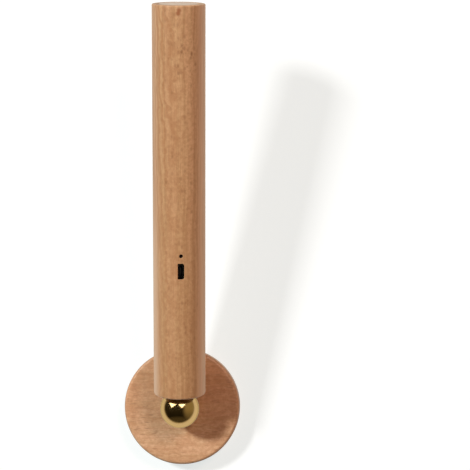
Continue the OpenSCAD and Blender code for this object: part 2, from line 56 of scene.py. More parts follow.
# The rod. Its own Z runs up from its lower end, and its front is at -Y
ROD_R = 16.5 * MM
ROD_LEN = 248 * MM
ROD_EDGE_LOW = 1.2 * MM       # rounding of its lower end
ROD_EDGE_TOP = 0.8 * MM       # and of its upper end
ROD_TURN = math.radians(9)    # about its own axis

# The charging port and the charge light, in the rod's front
PORT_Z = 83.4 * MM
PORT_W = 4 * MM
PORT_LEN = 10 * MM
PORT_WIDE_R = 0.5 * MM        # corners on the port's wide side
PORT_NARROW_R = 1.4 * MM      # corners on its narrow side
LIGHT_UP = 9.8 * MM           # from the port's middle up to the charge light
LIGHT_R = 1.2 * MM
FRONT_WALL = 2.8 * MM         # wood in front of the board's pocket

# The light's channel, in the rod's back, with its tray and cover
CHANNEL_HALF = 10 * MM
CHANNEL_FLOOR = 8 * MM        # behind the rod's axis
CHANNEL_LOW = 18 * MM         # from the rod's lower end
CHANNEL_TOP = 14 * MM         # from its upper end
TRAY_T = 1.2 * MM
TRAY_SCREW_R = 1 * MM
TRAY_SCREW_END = 2.15 * MM    # behind the rod's axis
TRAY_SCREWS = (30 * MM, 182 * MM, 222 * MM)
COVER_WALL = 2 * MM
COVER_LEG = 1.2 * MM

# Pockets in the rod for the control board, the cell and the wires
BOARD_LEN = 32 * MM
BOARD_POCKET_HALF = 4 * MM
CLIP_T = 4 * MM
RIB = 4 * MM                  # wood between the two pockets
WIRE_SLOT_HALF = 5.5 * MM
WIRE_SLOT_Y = 3 * MM          # behind the rod's axis
CELL_R = 9.2 * MM
CELL_LEN = 65 * MM
CELL_ROOM = 3 * MM            # at each end of the cell
TAPE_T = 0.4 * MM
WIRE_X = 6.6 * MM
WIRE_Y = CHANNEL_FLOOR - 1.5 * MM
WIRE_HOLE_R = 1 * MM

# The magnet in the rod's lower end, with its screw and insert nut
MAGNET_R = 10 * MM
MAGNET_T = 6 * MM
COUNTERSINK_R = 4.5 * MM
SCREW_R = 2 * MM
SCREW_LEN = 13 * MM
SCREW_SINK = 1.1 * MM         # how deep its head lies in the magnet
INSERT_R = 3.25 * MM
INSERT_LEN = 10 * MM

# The cap in the rod's upper end, with the electrode under it
CAP_R = 12.2 * MM
CAP_T = 2.5 * MM
CAP_EDGE = 0.4 * MM           # rounding of its rim
ELECTRODE_T = 0.3 * MM

# The ball and its seat
BALL_R = 12.5 * MM
BALL_ENTRY = 1.9 * MM         # how far the ball stands in the rod's lower end
BALL_GAP = 0.2 * MM           # between the ball and the magnet or the seat
SEAT_R = 8 * MM
SEAT_DEPTH = 3 * MM           # in the wall plate
SEAT_RISE = 4 * MM            # out of it

# The wall plate, its pad, and the keeper behind its magnet
DISC_EDGE = 2 * MM            # rounding of the plate's rim
PAD_EDGE = 0.3 * MM           # and of the pad's
BASE_MAGNET_R = 4.8 * MM
KEEPER_R = 14 * MM
KEEPER_T = 2 * MM
KEEPER_CIRCLE_R = 10 * MM
KEEPER_SCREWS = 3
KEEPER_SCREW_R = 1.3 * MM
KEEPER_SCREW_DEPTH = 8.35 * MM

# How finely the meshes are divided
SEGMENTS = 192                # round a turned piece
DRILL_SEGMENTS = 48           # round a drilled hole
ARC_STEPS = 8                 # along a small round
MOUTH_STEPS = 4               # along the eased mouth of a hole
ROUND_STEPS = 40              # along a large round
BALL_STEPS = 128              # from pole to pole of the ball
ROD_PITCH = 10 * MM           # between rings of points along the rod
COVER_PITCH = 12 * MM         # along its cover
FACE_PITCH = 5 * MM           # across the wall plate's face
SHARP = math.radians(32)      # edges that turn more than this stay crisp

# The camera, from the photograph's perspective
CAMERA_AT = Vector((0.0967, -1.1399, 0.0904))
CAMERA_PAN = 0.05629
CAMERA_TILT = 0.01945
CAMERA_ROLL = -0.0170
CAMERA_LENS = 132.76
CAMERA_SENSOR = 36.0

# Places worked out from the frame
joints = {j["name"]: j for j in frame["joints"]}
ball_centre = Vector(joints["tilt"]["pos_m"])
rod_axis = Vector(joints["spin"]["axis"])
lean = math.atan2(-rod_axis.y, rod_axis.z)
end_offset = BALL_R - BALL_ENTRY
dish_r = BALL_R + BALL_GAP
magnet_z = math.sqrt(dish_r ** 2 - COUNTERSINK_R ** 2) - end_offset
rod_place = (Matrix.Translation(ball_centre) @ Matrix.Rotation(lean, 4, "X")
             @ Matrix.Translation((0, 0, end_offset)) @ Matrix.Rotation(ROD_TURN, 4, "Z"))
# On the wall plate a piece's own Z points out of the wall
wall_place = Matrix.Rotation(math.radians(90), 4, "X")
# The rod's grain faces a little to the left of its port
rod_grain = rod_place @ Matrix.Rotation(math.radians(-7), 4, "Z")
# The wall plate's grain runs from side to side
plate_grain = Matrix.Rotation(math.radians(90), 4, "Y")
disc_low, disc_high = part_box("base_disc")
disc_r = (disc_high.x - disc_low.x) / 2
pad_t = -disc_high.y
face_z = -disc_low.y
ball_z = -ball_centre.y
seat_low = face_z - SEAT_DEPTH


# Meshes

def arc(centre, radius, start, end, steps=ARC_STEPS):
    """Points of an arc in a plane, from one angle in degrees to another."""
    turns = [math.radians(start + (end - start) * i / steps) for i in range(steps + 1)]
    return [(centre[0] + radius * math.cos(t), centre[1] + radius * math.sin(t)) for t in turns]


def steps_between(start, end, pitch):
    """Values between start and end, no further apart than pitch, without the ends."""
    count = max(1, math.ceil(abs(end - start) / pitch))
    return [start + (end - start) * i / count for i in range(1, count)]


def make_object(name, solid):
    """An object with smooth faces and crisp edges, from a mesh that is freed."""
    mesh = bpy.data.meshes.new(name)
    solid.to_mesh(mesh)
    solid.free()
    mesh.shade_smooth()
    mesh.set_sharp_from_angle(angle=SHARP)
    obj = bpy.data.objects.new(name, mesh)
    bpy.context.scene.collection.objects.link(obj)
    return obj


def lathe(profile, closed=False, segments=SEGMENTS):
    """A solid turned about Z from (radius, height) points; a closed profile makes a ring."""
    bm = bmesh.new()
    turns = [2 * math.pi * k / segments for k in range(segments)]
    rings = []
    for radius, height in profile:
        if radius == 0:
            rings.append([bm.verts.new((0, 0, height))] * segments)
            continue
        circle = [(radius * math.cos(t), radius * math.sin(t), height) for t in turns]
        rings.append([bm.verts.new(point) for point in circle])
    pairs = list(zip(rings, rings[1:]))
    if closed:
        pairs.append((rings[-1], rings[0]))
    for low, high in pairs:
        for k in range(segments):
            after = (k + 1) % segments
            corners = [low[k], low[after], high[after], high[k]]
            bm.faces.new([v for i, v in enumerate(corners) if v not in corners[:i]])
    bmesh.ops.recalc_face_normals(bm, faces=bm.faces)
    return bm


def loft(loops):
    """A closed solid through loops of points, with both ends capped."""
    bm = bmesh.new()
    rings = [[bm.verts.new(p) for p in loop] for loop in loops]
    for low, high in zip(rings, rings[1:]):
        for k in range(len(low)):
            after = (k + 1) % len(low)
            bm.faces.new((low[k], low[after], high[after], high[k]))
    bm.faces.new(rings[0])
    bm.faces.new(rings[-1])
    bmesh.ops.recalc_face_normals(bm, faces=bm.faces)
    return bm


def upright(outline, heights):
    """A solid with the same outline in X and Y at each height."""
    return loft([[(x, y, z) for x, y in outline] for z in heights])


def block(low, high):
    """A box between two corners, for cutting."""
    outline = [(low[0], low[1]), (high[0], low[1]), (high[0], high[1]), (low[0], high[1])]
    return upright(outline, (low[2], high[2]))


def drill(start, end, radius):
    """A round bar from one point to another, for cutting."""
    start, end = Vector(start), Vector(end)
    length = (end - start).length
    turn = Vector((0, 0, 1)).rotation_difference(end - start).to_matrix().to_4x4()
    bar = lathe([(0, 0), (radius, 0), (radius, length), (0, length)], segments=DRILL_SEGMENTS)
    bar.transform(Matrix.Translation(start) @ turn)
    return bar


def cut(obj, cutters):
    """Takes each cutter out of the piece."""
    for cutter in cutters:
        tool = make_object("cutter", cutter)
        step = obj.modifiers.new("cut", "BOOLEAN")
        step.object = tool
        step.operation = "DIFFERENCE"
        step.solver = "EXACT"
        bpy.context.view_layer.update()
        solid = obj.evaluated_get(bpy.context.evaluated_depsgraph_get())
        result = bpy.data.meshes.new_from_object(solid)
        obj.modifiers.clear()
        obj.data = result
        bpy.data.objects.remove(tool)
    obj.data.shade_smooth()
    obj.data.set_sharp_from_angle(angle=SHARP)


def settle(obj, place, body, slot, material, *nodes):
    """Puts a piece in its place, with its material and body, and hides the solids it stands for."""
    obj.data.transform(place)
    obj.data.materials.clear()
    obj.data.materials.append(material)
    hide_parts(*nodes)
    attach(obj, body)


# Nodes

def rgba(colour, times=1.0):
    """A colour with its alpha, made lighter or darker."""
    return (*[min(1.0, c * times) for c in colour], 1.0)


class Nodes:
    """Short calls for the nodes of one tree."""

    def __init__(self, tree):
        self.tree = tree

    def node(self, kind, settings=None, **inputs):
        """A new node. In an input's name, _ stands for a space."""
        made = self.tree.nodes.new("ShaderNode" + kind)
        for key, value in (settings or {}).items():
            setattr(made, key, value)
        for key, value in inputs.items():
            self.feed(made, key.replace("_", " "), value)
        return made

    def feed(self, node, socket, value):
        """Links a socket to another node's output, or sets its own value."""
        target = node.inputs[socket]
        if isinstance(value, bpy.types.NodeSocket):
            self.tree.links.new(value, target)
        else:
            target.default_value = value

    def joined(self, kind, settings, *values):
        """A new node, with its first sockets fed in order."""
        made = self.node(kind, settings)
        for i, value in enumerate(values):
            self.feed(made, i, value)
        return made

    def math(self, operation, *values):
        return self.joined("Math", {"operation": operation}, *values).outputs["Value"]

    def times(self, first, *others):
        for other in others:
            first = self.math("MULTIPLY", first, other)
        return first

    def vector(self, operation, *values):
        return self.joined("VectorMath", {"operation": operation}, *values)

    def split(self, vector):
        """The X, Y and Z of a vector."""
        parts = self.node("SeparateXYZ", Vector=vector)
        return [parts.outputs[axis] for axis in "XYZ"]

    def ramp(self, value, start, end, low=0.0, high=1.0):
        """A smooth step from low, where the value is start, to high, where it is end."""
        made = self.node("MapRange", {"interpolation_type": "SMOOTHSTEP"}, Value=value,
                         From_Min=start, From_Max=end, To_Min=low, To_Max=high)
        return made.outputs["Result"]

    def blend(self, factor, a, b, kind="MIX"):
        """A mix of two colours."""
        made = self.node("Mix", {"data_type": "RGBA", "blend_type": kind})
        for socket, value in ((0, factor), (6, a), (7, b)):
            self.feed(made, socket, value)
        return made.outputs[2]

    def between(self, factor, a, b):
        """A mix of two numbers."""
        made = self.node("Mix", {"data_type": "FLOAT"})
        for socket, value in ((0, factor), (2, a), (3, b)):
            self.feed(made, socket, value)
        return made.outputs[0]


class Shader(Nodes):
    """A material with one Principled surface, which follows a piece's own coordinates."""

    SHIFT = (1.0, 0.7, 1.3)       # how a seed moves the patterns in X, Y and Z

    def __init__(self, name, place=Matrix.Identity(4), seed=0.0):
        self.material = bpy.data.materials.new(name)
        self.material.use_nodes = True
        super().__init__(self.material.node_tree)
        self.surface = self.tree.nodes["Principled BSDF"]
        self.shift = [seed * share for share in self.SHIFT]
        coords = self.node("TexCoord")
        # A piece's place is part of its mesh, so its own coordinates are worked out back from it
        home = place.inverted()
        self.normal = coords.outputs["Normal"]
        self.own = self.node("Mapping", Vector=coords.outputs["Object"], Rotation=home.to_euler(),
                             Location=home.to_translation()).outputs["Vector"]

    def scaled(self, scale, shift=(0, 0, 0), source=None):
        """The piece's own coordinates, or others, with so many units to the metre."""
        mapped = self.node("Mapping", Vector=source or self.own, Scale=scale, Location=shift)
        return mapped.outputs["Vector"]

    def noise(self, scale, detail=3.0, rough=0.55, source=None):
        """Noise with so many cells to the metre, the same each way or in X, Y and Z."""
        cells = (scale,) * 3 if isinstance(scale, int) else scale
        return self.node("TexNoise", Vector=self.scaled(cells, self.shift, source), Scale=1.0,
                         Detail=detail, Roughness=rough).outputs["Fac"]

    def voronoi(self, scale, feature="F1"):
        """The outputs of a pattern of cells, with so many to the metre in X, Y and Z."""
        return self.node("TexVoronoi", {"feature": feature}, Vector=self.scaled(scale, self.shift),
                         Scale=1.0).outputs

    def length(self, vector):
        return self.vector("LENGTH", vector).outputs["Value"]

    def along(self, direction):
        """How far the surface faces along a direction, either way: 0 to 1."""
        return self.math("ABSOLUTE", self.vector("DOT_PRODUCT", self.normal, direction).outputs["Value"])

    def uneven(self, cloud, colour, spread):
        """A colour that is lighter and darker by some share, after a cloud of noise."""
        return self.blend(self.ramp(cloud, 0.3, 0.7), rgba(colour, 1 - spread), rgba(colour, 1 + spread))

    def bump(self, height, strength, depth):
        made = self.node("Bump", Height=height, Strength=strength, Distance=depth)
        self.feed(self.surface, "Normal", made.outputs["Normal"])

    def finish(self, **inputs):
        """The material, with the surface's sockets set."""
        for key, value in inputs.items():
            self.feed(self.surface, key.replace("_", " "), value)
        return self.material


# Wood. Scales are in cells to the metre: across the grain, into the wood and along the grain

RING_PITCH = 1.9 * MM
RING_SWAY = 2.6               # in rings
CAP_RING_SWAY = 3.0           # the same in the rod's end disc
WANDER = 7 * MM               # how far the grain strays over its length
SWAY_SCALE = (75, 75, 62)
WANDER_SCALE = (12, 12, 14)
RIPPLE_SCALE = (45, 45, 50)
STREAK_SCALE = (460, 460, 5)
FIBRE_SCALE = (1300, 1300, 18)
HUE_SCALE = (250, 250, 5)
MOTTLE_SCALE = (440, 300, 420)
CROWD_SCALE = (25, 25, 22)
PORE_SCALE = (3000, 3000, 420)
SMALL_CELLS = 2.1             # cells of small ray ends to one of large ones
BORDER_CELLS = 0.7            # cells of ray borders to one of large ray ends

# How strongly each mark shows in the wood
STREAK_SHARE = 0.68           # of the tone; the fibres have the rest
HUE_SHARE = 0.32
OUTER_RINGS = 0.10            # rings outside the heart
MOTTLE_SHARE = 0.34
BORDER_SHARE = 0.14
SMALL_SHARE = 0.6             # small ray ends, against large ones
EARLY_SHARE = 0.5             # ray ends in early wood, against late wood
SPARSE_SHARE = 0.45           # ray ends where they are few, against where they crowd
PORE_SHARE = 0.14
SPOT_SHARE = 0.85
END_SHARE = 0.40
# A pale strip on the rod's left side, fuller towards its lower end: a painted sheen in place of the wall's
# reflection
PAINTED_SHEEN_SHARE = 0.45
PAINTED_SHEEN_X = (-11.5 * MM, -15 * MM)    # where the pale strip begins and where it is full, across
PAINTED_SHEEN_Z = (150 * MM, 70 * MM)       # and along the grain

# Colours of the marks, as shares of the light, the dark or the redder colour
PINKER = (1.0, 0.88, 0.90)    # of light: pink streaks
REDDER = (0.84, 0.70, 0.66)   # of dark: late wood and mottle
FLECK_SHADE = 0.72            # of redder
RIM_PAINTED_SHADE = 0.8               # of redder
PORE_SHADE = 0.55             # of dark
END_SHADE = 0.60              # of dark
HOLE_PAINTED_SHADE = 0.05             # of dark


class Beech(Shader):
    """Beech, with its grain along its place's Z and its rays along Y."""

    def __init__(self, name, place, seed):
        super().__init__(name, place, seed)
        self.x, self.y, self.z = self.split(self.own)
        self.front = self.along(place.col[1].to_3d())
        self.facing = self.ramp(self.front, 0.52, 0.92)
        self.end_grain = self.ramp(self.along(place.col[2].to_3d()), 0.85, 0.98)

    def late_wood(self, pith):
        """Rings round a slanting pith. Their sway draws arches where they graze the surface."""
        across = self.math("SUBTRACT", self.x, pith[0])
        deep = self.math("SUBTRACT", self.y, self.math("MULTIPLY_ADD", self.z, pith[2], pith[1]))
        reach = self.math("SQRT", self.math("MULTIPLY_ADD", across, across, self.times(deep, deep)))
        sway = self.noise(SWAY_SCALE, 2.0)
        ring = self.math("MULTIPLY_ADD", sway, RING_SWAY, self.math("DIVIDE", reach, RING_PITCH))
        season = self.math("FRACT", ring)
        return self.times(self.ramp(season, 0.3, 0.8), self.ramp(season, 1.0, 0.86))

    def grain(self, waves):
        """Coordinates along a grain that wanders, and ripples aside by waves."""
        wander = self.noise(WANDER_SCALE, 1.0)
        ripple = self.noise(RIPPLE_SCALE, 2.0)
        aside = self.math("MULTIPLY_ADD", ripple, waves, self.times(wander, WANDER))
        both = self.node("CombineXYZ", X=aside, Y=aside).outputs["Vector"]
        return self.vector("ADD", self.own, both).outputs["Vector"]

    def dashes(self, scale):
        """Short dashes of uneven strength, one to a cell at most."""
        cells = self.voronoi(scale)
        chance = self.split(cells["Color"])[0]
        return self.times(self.ramp(cells["Distance"], 0.58, 0.12), self.ramp(chance, 0.25, 0.95))

    def ray_ends(self, scale, late):
        """Large and small dashes where the surface lies across the rays, most in late wood."""
        small = self.times(self.dashes([SMALL_CELLS * s for s in scale]), SMALL_SHARE)
        dash = self.math("MAXIMUM", self.dashes(scale), small)
        season = self.math("MULTIPLY_ADD", late, 1 - EARLY_SHARE, EARLY_SHARE)
        crowd = self.ramp(self.noise(CROWD_SCALE, 2.0), 0.35, 0.65, low=SPARSE_SHARE)
        return self.times(dash, season, self.facing, crowd)

    def ray_borders(self, scale, mottle):
        """Lines that part the rays into scales."""
        borders = self.voronoi([BORDER_CELLS * s for s in scale], "DISTANCE_TO_EDGE")["Distance"]
        return self.times(self.ramp(borders, 0.16, 0.03), self.ramp(mottle, 0.42, 0.58), self.facing)

    def spot(self, at, size):
        """A soft spot, from its middle and its reach in X, Y and Z."""
        spread = [1 / reach for reach in size]
        back = [-middle / reach for middle, reach in zip(at, size)]
        return self.ramp(self.length(self.scaled(spread, back)), 1.2, 0.3, high=SPOT_SHARE)

    def recess(self, low, high):
        """What lies deeper than the rod's skin between two heights."""
        inside = self.ramp(self.length(self.scaled((1, 1, 0))), ROD_R - EASED, ROD_R - 3 * EASED)
        return self.times(inside, self.ramp(self.z, low - OVER, low), self.ramp(self.z, high + OVER, high))


def beech(name, place, seed, light, dark, shade_tint, shade_span, pith, rings, rays, flecks,
          waves=0.0, lively=None, painted_sheen=None, painted_rim_shade=0.0, marks=(), painted_hole_shade=None):
    """Oiled beech.

    light and dark are its streaks' colours. Between the two X values of shade_span the colours are
    multiplied by shade_tint, a painted shade that darkens and reddens that side. pith is the pith's X, its Y
    and its slant. rings, flecks and painted_rim_shade say how strongly the rings, the ray ends and a painted
    shade on the rounded rim show. rays is the scale of the ray ends. waves is how far the grain ripples aside.
    lively is two heights and the figure's strength at each. painted_sheen is the colour of a pale strip at one
    side, a painted sheen that stands in for a reflection. marks are soft spots. Between the two heights of
    painted_hole_shade, holes are painted dark inside, as painted shade.
    """
    s = Beech(name, place, seed)
    redder = [c * share for c, share in zip(dark, REDDER)]
    pinker = [c * share for c, share in zip(light, PINKER)]
    grain = s.grain(waves)
    streaks = s.noise(STREAK_SCALE, 3.0, 0.65, grain)
    fibres = s.noise(FIBRE_SCALE, 4.0, 0.65, grain)
    hue = s.noise(HUE_SCALE, 2.0, source=grain)
    mottle = s.noise(MOTTLE_SCALE, 3.0, 0.65)
    pores = s.ramp(s.noise(PORE_SCALE, 2.0), 0.55, 0.70)
    late = s.late_wood(pith)
    fleck = s.ray_ends(rays, late)
    tone = s.math("MULTIPLY_ADD", s.ramp(streaks, 0.40, 0.60), STREAK_SHARE,
                  s.times(s.ramp(fibres, 0.30, 0.70), 1 - STREAK_SHARE))
    if lively:
        stir = s.ramp(s.z, *lively)
        tone = s.math("MULTIPLY_ADD", s.math("SUBTRACT", tone, 0.5), stir, 0.5)
        fleck = s.times(fleck, stir)
        late = s.times(late, stir)

    colour = s.blend(tone, rgba(dark), rgba(light))
    colour = s.blend(s.ramp(hue, 0.42, 0.58, high=HUE_SHARE), colour, rgba(pinker))
    # Painted shade: towards one side the wood turns darker and redder, and its rings show more there
    shade_side = s.ramp(s.x, *shade_span)
    colour = s.blend(shade_side, colour, rgba(shade_tint), "MULTIPLY")
    ringed = s.math("MULTIPLY_ADD", shade_side, rings, OUTER_RINGS)
    colour = s.blend(s.times(late, ringed), colour, rgba(redder))
    colour = s.blend(s.times(s.facing, s.ramp(mottle, 0.60, 0.40, high=MOTTLE_SHARE)), colour, rgba(redder))
    # Painted sheen: a pale strip at one side stands in for a reflection
    if painted_sheen:
        strip = s.times(s.ramp(s.x, *PAINTED_SHEEN_X, high=PAINTED_SHEEN_SHARE), s.ramp(s.z, *PAINTED_SHEEN_Z))
        colour = s.blend(strip, colour, rgba(painted_sheen))
    colour = s.blend(s.times(s.ray_borders(rays, mottle), BORDER_SHARE), colour, rgba(light))
    colour = s.blend(s.times(fleck, flecks), colour, rgba(redder, FLECK_SHADE))
    colour = s.blend(s.times(pores, PORE_SHARE), colour, rgba(dark, PORE_SHADE))
    # Painted shade: the rounded rim darkens where it turns away from the front
    if painted_rim_shade:
        colour = s.blend(s.ramp(s.front, 0.92, 0.35, high=painted_rim_shade), colour, rgba(redder, RIM_PAINTED_SHADE))
    for mark in marks:
        colour = s.blend(s.spot(mark["at"], mark["size"]), colour, rgba(mark["colour"]))
    colour = s.blend(s.times(s.end_grain, END_SHARE), colour, rgba(dark, END_SHADE))
    # Painted shade: the walls of the port and of the charge light's hole are drawn nearly black
    if painted_hole_shade:
        colour = s.blend(s.recess(*painted_hole_shade), colour, rgba(dark, HOLE_PAINTED_SHADE))
    # Fibres stand up a little; ray ends and pores lie deeper
    height = s.math("SUBTRACT", s.times(fibres, 0.5), s.math("MULTIPLY_ADD", fleck, 0.4, pores))
    s.bump(height, strength=0.10, depth=0.15 * MM)
    return s.finish(Base_Color=colour, Roughness=s.ramp(fibres, 0.2, 0.8, 0.52, 0.40),
                    Coat_Weight=0.18, Coat_Roughness=0.30)


def pale_wood(name, light, dark, pith):
    """Sanded end disc: uneven rings round a pith that lies outside it, and a fine speckle."""
    s = Shader(name, rod_place)
    reach = s.length(s.scaled((1, 1, 0), [-p for p in pith]))
    sway = s.noise((160, 160, 0))
    ring = s.math("MULTIPLY_ADD", sway, CAP_RING_SWAY, s.math("DIVIDE", reach, RING_PITCH))
    late = s.ramp(s.math("FRACT", ring), 0.35, 1.0)
    cloud = s.noise(300, 2.0)
    speckle = s.noise(2600)
    colour = s.blend(s.ramp(cloud, 0.35, 0.65, high=0.35), rgba(light), rgba(dark))
    colour = s.blend(s.times(late, 0.40), colour, rgba(dark, 0.92))
    colour = s.blend(s.ramp(speckle, 0.52, 0.72, high=0.35), colour, rgba(dark, 0.85))
    s.bump(speckle, strength=0.08, depth=0.1 * MM)
    return s.finish(Base_Color=colour, Roughness=s.ramp(speckle, 0.3, 0.7, 0.5, 0.62))


# Other materials

def metal(name, colour, rough, spread=0.06, marks=(700, 700, 90), bump=0.02, edge=None):
    """Plated metal: an uneven gloss with fine marks. edge is its tint where it is seen at a slant."""
    s = Shader(name)
    scratch = s.noise(marks, 6.0, 0.7)
    tone = s.uneven(s.noise(60), colour, spread)
    s.bump(scratch, strength=bump, depth=0.05 * MM)
    if edge:
        s.finish(Specular_Tint=rgba(edge))
    return s.finish(Base_Color=tone, Metallic=1.0,
                    Roughness=s.ramp(scratch, 0.3, 0.75, rough * 0.8, rough * 1.3))


def plastic(name, colour, rough, spread=0.08, grain=1800):
    """Moulded plastic: a fine grain and a slight unevenness of tone."""
    s = Shader(name)
    skin = s.noise(grain, 2.0)
    tone = s.uneven(s.noise(120), colour, spread)
    s.bump(skin, strength=0.06, depth=0.06 * MM)
    return s.finish(Base_Color=tone, Roughness=s.ramp(skin, 0.3, 0.7, rough * 0.88, rough * 1.1))


def opal(name, light, dark):
    """Frosted light cover: light goes a little way in."""
    s = Shader(name, rod_place)
    skin = s.noise(2400, 2.0)
    tone = s.blend(s.ramp(s.noise((40, 40, 8), 2.0), 0.3, 0.7), rgba(dark), rgba(light))
    s.bump(skin, strength=0.05, depth=0.05 * MM)
    return s.finish(Base_Color=tone, Roughness=s.ramp(skin, 0.3, 0.7, 0.34, 0.46), Subsurface_Weight=0.35,
                    Subsurface_Radius=(1.0, 0.9, 0.75), Subsurface_Scale=1.5 * MM)


def foam(name, colour):
    """Closed-cell foam: small cells and a dull skin."""
    s = Shader(name)
    cells = s.voronoi((1500, 1500, 1500))["Distance"]
    cloud = s.noise(90)
    tone = s.blend(s.ramp(cells, 0.1, 0.7), rgba(colour, 0.75), rgba(colour, 1.25))
    tone = s.blend(s.ramp(cloud, 0.4, 0.8, high=0.3), tone, rgba(colour, 1.5))
    s.bump(cells, strength=0.25, depth=0.15 * MM)
    return s.finish(Base_Color=tone, Roughness=s.ramp(cloud, 0.3, 0.7, 0.82, 0.95))


def circuit_board(name, colour, trace):
    """Solder mask over copper tracks, on a board that stands across the rod's X."""
    s = Shader(name, rod_place @ Matrix.Rotation(math.radians(90), 4, "Y"))
    tracks = s.node("TexBrick", {"offset": 0.35, "squash": 1.4, "squash_frequency": 3}, Vector=s.own,
                    Scale=260.0, Mortar_Size=0.035, Mortar_Smooth=0.3, Brick_Width=0.9, Row_Height=0.32)
    mask = tracks.outputs["Fac"]
    cloud = s.noise(300)
    tone = s.blend(s.times(mask, 0.8), s.uneven(cloud, colour, 0.12), rgba(trace))
    s.bump(mask, strength=0.2, depth=0.03 * MM)
    return s.finish(Base_Color=tone, Roughness=s.ramp(cloud, 0.3, 0.7, 0.30, 0.42))


# A small reddish double mark near the rod's upper end
MARK_RED = (0.33, 0.115, 0.040)
TOP_MARKS = (
    {"at": (1.2 * MM, -16.4 * MM, 245.2 * MM), "size": (1.7 * MM, 3 * MM, 1.6 * MM), "colour": MARK_RED},
    {"at": (0.6 * MM, -16.4 * MM, 243.3 * MM), "size": (1.6 * MM, 3 * MM, 1.8 * MM), "colour": MARK_RED},
)

# Materials of the pieces that are modelled here
# Both woods carry painted shade: the rod on its left side, the plate on its upper part
rod_beech = beech(
    "rod_beech", rod_grain, seed=6.6, light=(0.72, 0.477, 0.252), dark=(0.530, 0.318, 0.147),
    shade_tint=(0.79, 0.72, 0.69), shade_span=(10 * MM, -14 * MM), pith=(-2 * MM, 34 * MM, 0.035), rings=0.65,
    rays=(500, 170, 300), flecks=0.70, lively=(40 * MM, 225 * MM, 0.72, 1.32), painted_sheen=(0.72, 0.52, 0.34),
    marks=TOP_MARKS, painted_hole_shade=(PORT_Z - PORT_LEN, PORT_Z + LIGHT_UP + 2 * LIGHT_R))
# The plate also has painted shade on its rounded rim
plate_beech = beech(
    "plate_beech", plate_grain, seed=8.2, light=(0.748, 0.520, 0.312), dark=(0.562, 0.338, 0.174),
    shade_tint=(0.94, 0.84, 0.77), shade_span=(20 * MM, -4 * MM), pith=(-9 * MM, 40 * MM, 0.08), rings=0.20,
    rays=(1000, 170, 210), flecks=0.95, waves=9 * MM, painted_rim_shade=0.7)
cap_wood = pale_wood("cap_wood", (0.645, 0.565, 0.46), (0.555, 0.455, 0.345), (-31 * MM, -12 * MM, 0))
gold = metal("gold", (0.62, 0.415, 0.180), rough=0.15, spread=0.02, marks=(300, 300, 300), bump=0.004,
             edge=(0.94, 0.84, 0.62))
seat_brass = metal("seat_brass", (0.62, 0.42, 0.18), rough=0.26)
magnet = metal("magnet", (0.50, 0.50, 0.52), rough=0.24)
opal_plastic = opal("opal_plastic", (0.86, 0.855, 0.83), (0.80, 0.79, 0.76))
adhesive = foam("adhesive", (0.10, 0.10, 0.10))

# Finish of the solids that show as they are, by the record's material slot
FINISHES = {
    "magnet": magnet,
    "steel": metal("steel", (0.56, 0.57, 0.58), rough=0.30),
    "brass": metal("brass", (0.70, 0.50, 0.20), rough=0.28),
    "tray_aluminium": metal("tray_aluminium", (0.72, 0.73, 0.74), rough=0.36, spread=0.04,
                            marks=(1500, 1500, 20)),
    "white_board": plastic("white_board", (0.80, 0.80, 0.78), rough=0.35, spread=0.03),
    "led_yellow": plastic("led_yellow", (0.78, 0.60, 0.16), rough=0.30, spread=0.10),
    "black_plastic": plastic("black_plastic", (0.018, 0.018, 0.018), rough=0.45),
    "green_board": circuit_board("green_board", (0.012, 0.11, 0.04), (0.05, 0.22, 0.09)),
    "ivory_plastic": plastic("ivory_plastic", (0.72, 0.67, 0.54), rough=0.45, spread=0.04),
    "socket_metal": metal("socket_metal", (0.055, 0.052, 0.05), rough=0.38),
    "contact_gold": metal("contact_gold", (0.75, 0.52, 0.18), rough=0.25),
    "clear_plastic": plastic("clear_plastic", (0.45, 0.62, 0.45), rough=0.12),
    "smoked_plastic": plastic("smoked_plastic", (0.020, 0.010, 0.007), rough=0.28),
    "coil_grey": plastic("coil_grey", (0.06, 0.06, 0.06), rough=0.55, spread=0.2, grain=2600),
    "tan_plastic": plastic("tan_plastic", (0.42, 0.30, 0.17), rough=0.40),
    "battery_can": metal("battery_can", (0.62, 0.62, 0.63), rough=0.25),
    "blue_sleeve": plastic("blue_sleeve", (0.025, 0.09, 0.36), rough=0.28),
    "tab_nickel": metal("tab_nickel", (0.65, 0.65, 0.66), rough=0.32),
    "foam_tape": foam("foam_tape", (0.05, 0.06, 0.06)),
    "red_wire": plastic("red_wire", (0.46, 0.02, 0.02), rough=0.40),
    "black_wire": plastic("black_wire", (0.02, 0.02, 0.02), rough=0.40),
    "orange_wire": plastic("orange_wire", (0.66, 0.22, 0.03), rough=0.40),
    "copper": metal("copper", (0.72, 0.35, 0.20), rough=0.30),
}
for part in frame["record"]["subparts"]:
    finish = FINISHES.get(part["material_slot"])
    if finish:
        shown = frame["nodes"][part["node"]].data
        shown.materials.clear()
        shown.materials.append(finish)


# The rod

def port_outline(grow):
    """The port's outline in X and Z: square corners on the wide side, at -X, round ones at +X."""
    half_w, half_h = PORT_W / 2 + grow, PORT_LEN / 2 + grow
    wide, narrow = PORT_WIDE_R + grow, PORT_NARROW_R + grow
    return (arc((half_w - narrow, half_h - narrow), narrow, 0, 90)
            + arc((-half_w + wide, half_h - wide), wide, 90, 180)
            + arc((-half_w + wide, -half_h + wide), wide, 180, 270)
            + arc((half_w - narrow, -half_h + narrow), narrow, 270, 360))


def light_outline(grow):
    """The charge light's round outline in X and Z."""
    return arc((0, 0), LIGHT_R + grow, 0, 360, ROUND_STEPS)[:ROUND_STEPS]


def eased_hole(outline, height, floor_y):
    """A cutter from the rod's front, whose mouth widens in a small round."""
    mouth = [(EASED, -2 * OVER)] + arc((EASED, EASED), EASED, -90, -180, MOUTH_STEPS)
    loops = [[(x, depth - math.sqrt(ROD_R ** 2 - x ** 2), height + z) for x, z in outline(grow)]
             for grow, depth in mouth]
    loops.append([(x, floor_y, height + z) for x, z in outline(0)])
    return loft(loops)


